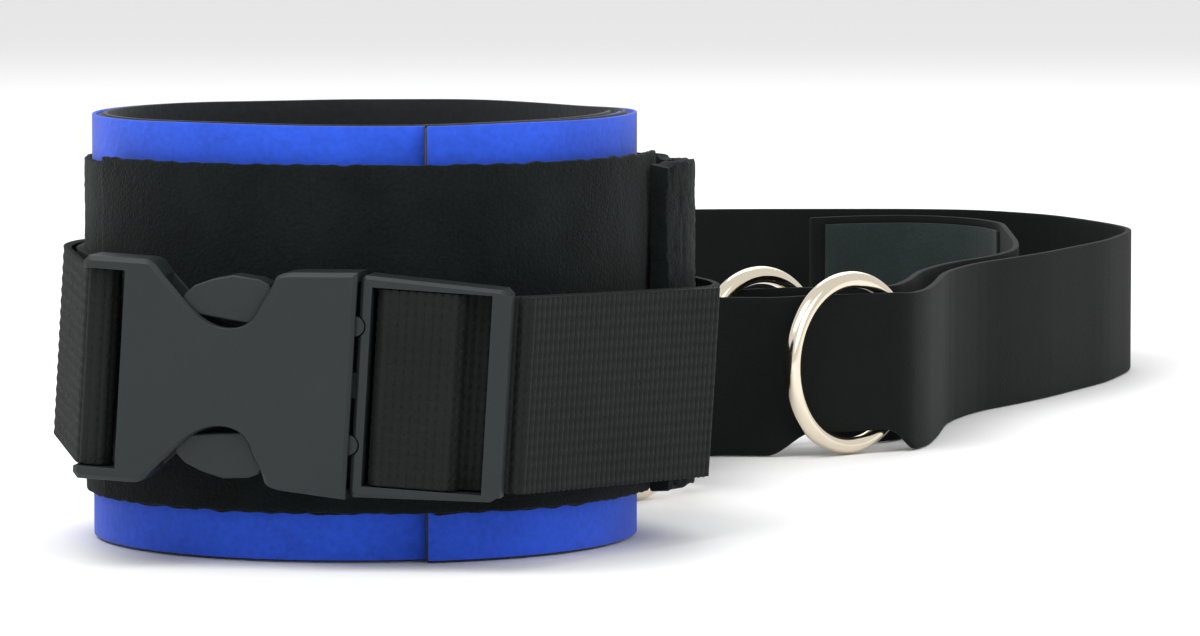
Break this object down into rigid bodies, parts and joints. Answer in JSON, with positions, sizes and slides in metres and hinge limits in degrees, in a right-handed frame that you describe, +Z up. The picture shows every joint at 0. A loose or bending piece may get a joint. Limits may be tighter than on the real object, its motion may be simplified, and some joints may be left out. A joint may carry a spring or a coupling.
{
  "type": "ankle cuff weight",
  "caption": "wrapped neoprene ankle cuff with pile band, side release buckle belt and a coiled strap on metal rings",
  "frame": {"origin": "on the axis of the wrapped cuff, at the floor it stands on", "axes": "+Z up along the cuff's axis, -Y the front with the buckle, +X the side that the buckle opens towards"},
  "size_m": [0.2483, 0.5386, 0.086],
  "materials": {
    "blue_jersey": "matte",
    "black_lining": "matte",
    "foam": "matte",
    "black_pile": "matte",
    "black_hook": "matte",
    "ribbed_webbing": "matte",
    "smooth_webbing": "matte",
    "hook_tape": "matte",
    "thread": "matte",
    "black_plastic": "satin",
    "nickel_wire": "polished"
  },
  "bodies": {
    "cuff": {"cuff_lining": "black_lining", "cuff_foam": "foam", "cuff_jersey": "blue_jersey", "pile_band": "black_pile", "hook_patch": "black_hook", "front_flap": "black_pile", "pile_tab": "black_pile", "belt_webbing": "ribbed_webbing", "belt_fold_tack": "thread", "buckle_female": "black_plastic", "ring_tab": "smooth_webbing", "ring_tab_stitching": "thread"},
    "male_half": {"buckle_male": "black_plastic", "belt_free_end": "ribbed_webbing"},
    "upper_prong": {"prong_upper": "black_plastic"},
    "lower_prong": {"prong_lower": "black_plastic"},
    "anchor": {"anchor_ring": "nickel_wire"},
    "tail": {"tail_strap": "smooth_webbing", "tail_root_tack": "thread", "tail_hook_tape": "hook_tape"},
    "near_ring": {"strap_ring_near": "nickel_wire"},
    "far_ring": {"strap_ring_far": "nickel_wire"}
  },
  "joints": [
    {"name": "buckle_release", "type": "slide", "parent": "cuff", "child": "male_half", "axis": [0.9859, -0.1564, -0.0586], "range_m": [0, 0.036]},
    {"name": "upper_prong_press", "type": "hinge", "parent": "male_half", "child": "upper_prong", "pos_m": [0.00243, -0.06437, 0.04738], "axis": [-0.1562, -0.9877, 0.0093], "range_deg": [0, 6.2]},
    {"name": "lower_prong_press", "type": "hinge", "parent": "male_half", "child": "lower_prong", "pos_m": [0.00107, -0.06437, 0.02442], "axis": [-0.1562, -0.9877, 0.0093], "range_deg": [-6.2, 0]},
    {"name": "anchor_ring_swing", "type": "hinge", "parent": "cuff", "child": "anchor", "pos_m": [0.048, 0.046, 0.0207], "axis": [0, 0, 1], "range_deg": [-10, 10]},
    {"name": "tail_swing", "type": "hinge", "parent": "anchor", "child": "tail", "pos_m": [0.0667, 0.07839, 0.0207], "axis": [0, 0, 1], "range_deg": [-10, 10]},
    {"name": "near_ring_swing", "type": "hinge", "parent": "tail", "child": "near_ring", "pos_m": [0.1053, 0.1587, 0.0207], "axis": [0, 0, 1], "range_deg": [0, 15]},
    {"name": "far_ring_swing", "type": "hinge", "parent": "tail", "child": "far_ring", "pos_m": [0.0852, 0.1746, 0.0207], "axis": [0, 0, 1], "range_deg": [0, 6]}
  ],
  "couplings": [
    {"joint": "upper_prong_press", "follows": "buckle_release", "rad_per_m": 2.9},
    {"joint": "lower_prong_press", "follows": "buckle_release", "rad_per_m": -2.9}
  ]
}
